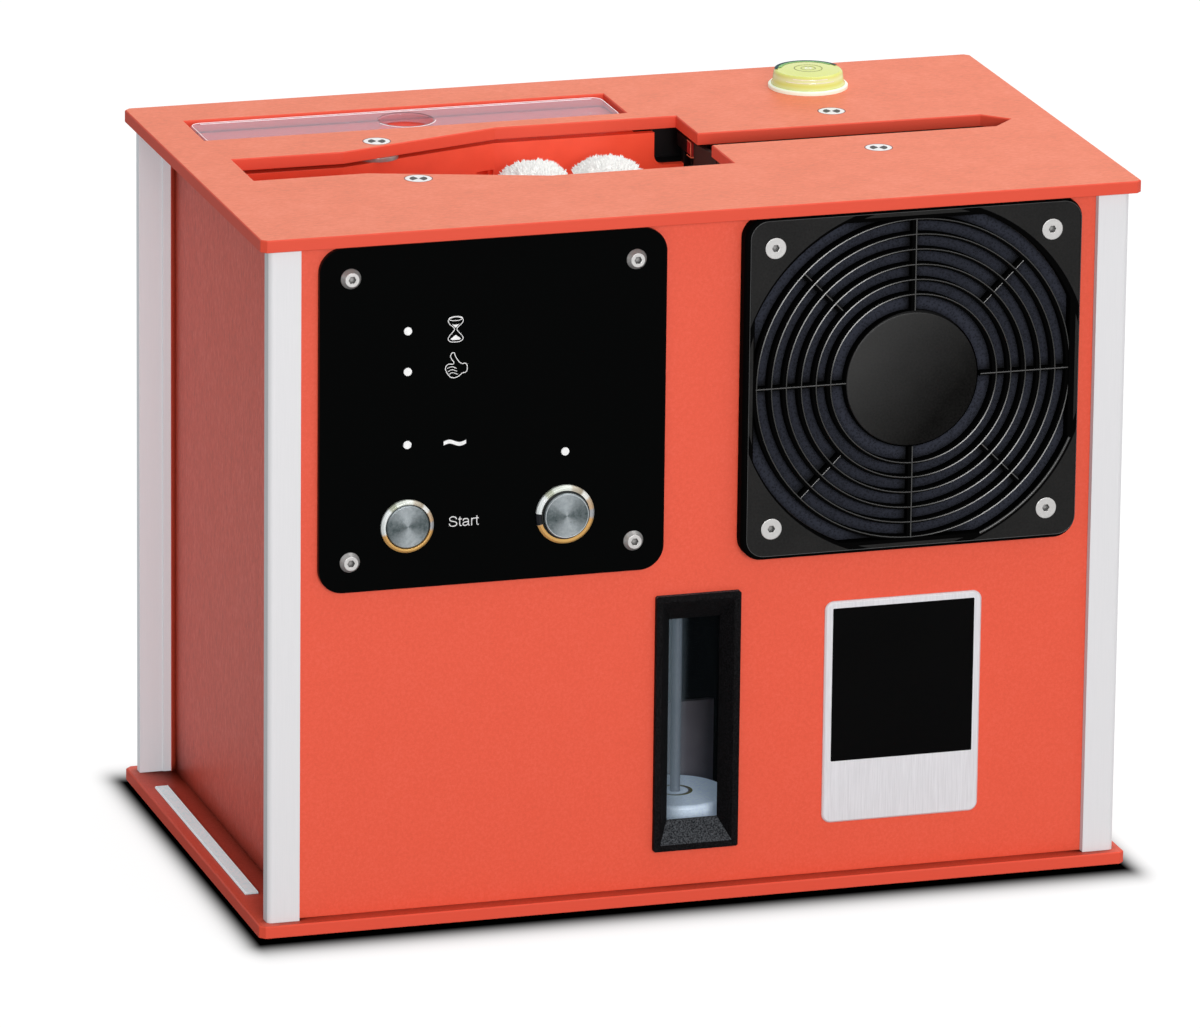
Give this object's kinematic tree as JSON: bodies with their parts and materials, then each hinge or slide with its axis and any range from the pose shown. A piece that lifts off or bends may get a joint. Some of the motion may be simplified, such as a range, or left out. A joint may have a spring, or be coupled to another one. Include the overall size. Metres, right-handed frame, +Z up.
{
  "type": "record cleaning machine",
  "caption": "Box-shaped record cleaning machine with a stepped well and slot in the top, rollers, fans, a round level, a button plate and a tank window.",
  "frame": {"origin": "centre of the footprint at floor level, under the rubber feet", "axes": "+X to the right seen from the front, +Y to the back, +Z up"},
  "size_m": [0.33, 0.194, 0.269],
  "materials": {
    "red_laminate": "satin",
    "red_plastic": "satin",
    "post_aluminium": "satin",
    "steel": "polished",
    "black_gloss": "gloss",
    "black_plastic": "grainy",
    "black_rubber": "matte",
    "clear_acrylic": "clear",
    "tank_acrylic": "smoked",
    "microfibre": "fluffy",
    "white_plastic": "satin",
    "level_green": "glowing yellow-green",
    "slate_foam": "open-cell",
    "white_foam": "open-cell",
    "circuit_green": "satin"
  },
  "bodies": {
    "case": {"base_plate": "red_laminate", "top_plate": "red_laminate", "front_panel": "red_laminate", "rear_panel": "red_laminate", "side_panels": "red_laminate", "corner_posts": "post_aluminium", "corner_bars": "red_plastic", "rubber_feet": "black_rubber", "case_screws": "steel", "top_plate_spacers": "steel", "filter_cassette": "red_plastic", "filter_foam": "white_foam", "level_base": "white_plastic", "level_vial": "level_green", "wash_chamber": "red_plastic", "overflow_cup": "black_plastic", "wiper_clips": "red_plastic", "wiper_lips": "black_rubber", "roller_motor": "steel", "record_motor": "steel", "dry_duct": "black_plastic", "fan_guards": "black_plastic", "fan_screws": "steel", "fan_foam": "slate_foam", "fan_frames": "black_plastic", "control_plate": "black_gloss", "control_plate_screws": "steel", "indicator_lamps": "white_plastic", "button_housings": "steel", "circuit_board": "circuit_green", "window_bezel": "black_plastic", "window_pane": "clear_acrylic", "water_tank": "tank_acrylic", "float_stem": "white_plastic", "badge_plate": "post_aluminium", "ledge_strip": "post_aluminium", "ultrasonic_transducer": "post_aluminium", "pump": "black_plastic", "riser_pipe": "white_plastic", "power_inlet": "black_plastic", "switch_housing": "black_plastic"},
    "start_button": {"start_button_cap": "steel"},
    "mode_button": {"mode_button_cap": "steel"},
    "front_fan": {"front_fan_rotor": "black_plastic"},
    "rear_fan": {"rear_fan_rotor": "black_plastic"},
    "front_left_roller": {"front_left_roller_core": "white_plastic", "front_left_roller_sleeve": "microfibre"},
    "front_right_roller": {"front_right_roller_core": "white_plastic", "front_right_roller_sleeve": "microfibre"},
    "rear_left_roller": {"rear_left_roller_core": "white_plastic", "rear_left_roller_sleeve": "microfibre"},
    "rear_right_roller": {"rear_right_roller_core": "white_plastic", "rear_right_roller_sleeve": "microfibre"},
    "roller_drive": {"roller_pinion": "steel"},
    "idler": {"idler_wheel": "white_plastic"},
    "record_drive": {"drive_wheel": "black_rubber"},
    "float": {"float_disc": "white_plastic"},
    "cover": {"clear_cover": "clear_acrylic"},
    "power_rocker": {"switch_rocker": "black_plastic"},
    "drain_plug": {"drain_cap": "black_rubber"}
  },
  "joints": [
    {"name": "start_button_press", "type": "slide", "parent": "case", "child": "start_button", "axis": [0, 1, 0], "range_m": [0, 0.0015], "stiffness_N_per_m": 400, "springref_m": -0.0005},
    {"name": "mode_button_press", "type": "slide", "parent": "case", "child": "mode_button", "axis": [0, 1, 0], "range_m": [0, 0.0015], "stiffness_N_per_m": 400, "springref_m": -0.0005},
    {"name": "front_fan_spin", "type": "hinge", "parent": "case", "child": "front_fan", "pos_m": [0.0788, -0.0745, 0.1933], "axis": [0, 1, 0], "continuous": true},
    {"name": "rear_fan_spin", "type": "hinge", "parent": "case", "child": "rear_fan", "pos_m": [0.0788, 0.0745, 0.1933], "axis": [0, 1, 0], "continuous": true},
    {"name": "rear_left_roller_spin", "type": "hinge", "parent": "case", "child": "rear_left_roller", "pos_m": [-0.0312, 0.014, 0.196], "axis": [0, 0, 1], "continuous": true},
    {"name": "rear_right_roller_spin", "type": "hinge", "parent": "case", "child": "rear_right_roller", "pos_m": [-0.0032, 0.014, 0.196], "axis": [0, 0, 1], "continuous": true},
    {"name": "front_left_roller_spin", "type": "hinge", "parent": "case", "child": "front_left_roller", "pos_m": [-0.0312, -0.014, 0.196], "axis": [0, 0, 1], "continuous": true},
    {"name": "front_right_roller_spin", "type": "hinge", "parent": "case", "child": "front_right_roller", "pos_m": [-0.0032, -0.014, 0.196], "axis": [0, 0, 1], "continuous": true},
    {"name": "roller_drive_spin", "type": "hinge", "parent": "case", "child": "roller_drive", "pos_m": [-0.0312, 0.035, 0.129], "axis": [0, 0, 1], "continuous": true},
    {"name": "idler_spin", "type": "hinge", "parent": "case", "child": "idler", "pos_m": [-0.112, 0, 0.19143], "axis": [0, 1, 0], "continuous": true},
    {"name": "record_drive_spin", "type": "hinge", "parent": "case", "child": "record_drive", "pos_m": [0.114, 0, 0.19143], "axis": [0, 1, 0], "continuous": true},
    {"name": "float_rise", "type": "slide", "parent": "case", "child": "float", "axis": [0, 0, 1], "range_m": [0, 0.072]},
    {"name": "cover_lift", "type": "slide", "parent": "case", "child": "cover", "axis": [0, 0, 1], "range_m": [0, 0.03]},
    {"name": "power_switch", "type": "hinge", "parent": "case", "child": "power_rocker", "pos_m": [-0.078, 0.0875, 0.045], "axis": [-1, 0, 0], "range_deg": [0, 14]},
    {"name": "drain_cap_pull", "type": "slide", "parent": "case", "child": "drain_plug", "axis": [0, 1, 0], "range_m": [0, 0.02]}
  ],
  "couplings": [
    {"joint": "rear_right_roller_spin", "follows": "rear_left_roller_spin", "ratio": -1},
    {"joint": "front_left_roller_spin", "follows": "rear_left_roller_spin", "ratio": -1},
    {"joint": "front_right_roller_spin", "follows": "rear_left_roller_spin", "ratio": 1},
    {"joint": "roller_drive_spin", "follows": "rear_left_roller_spin", "ratio": -2}
  ]
}
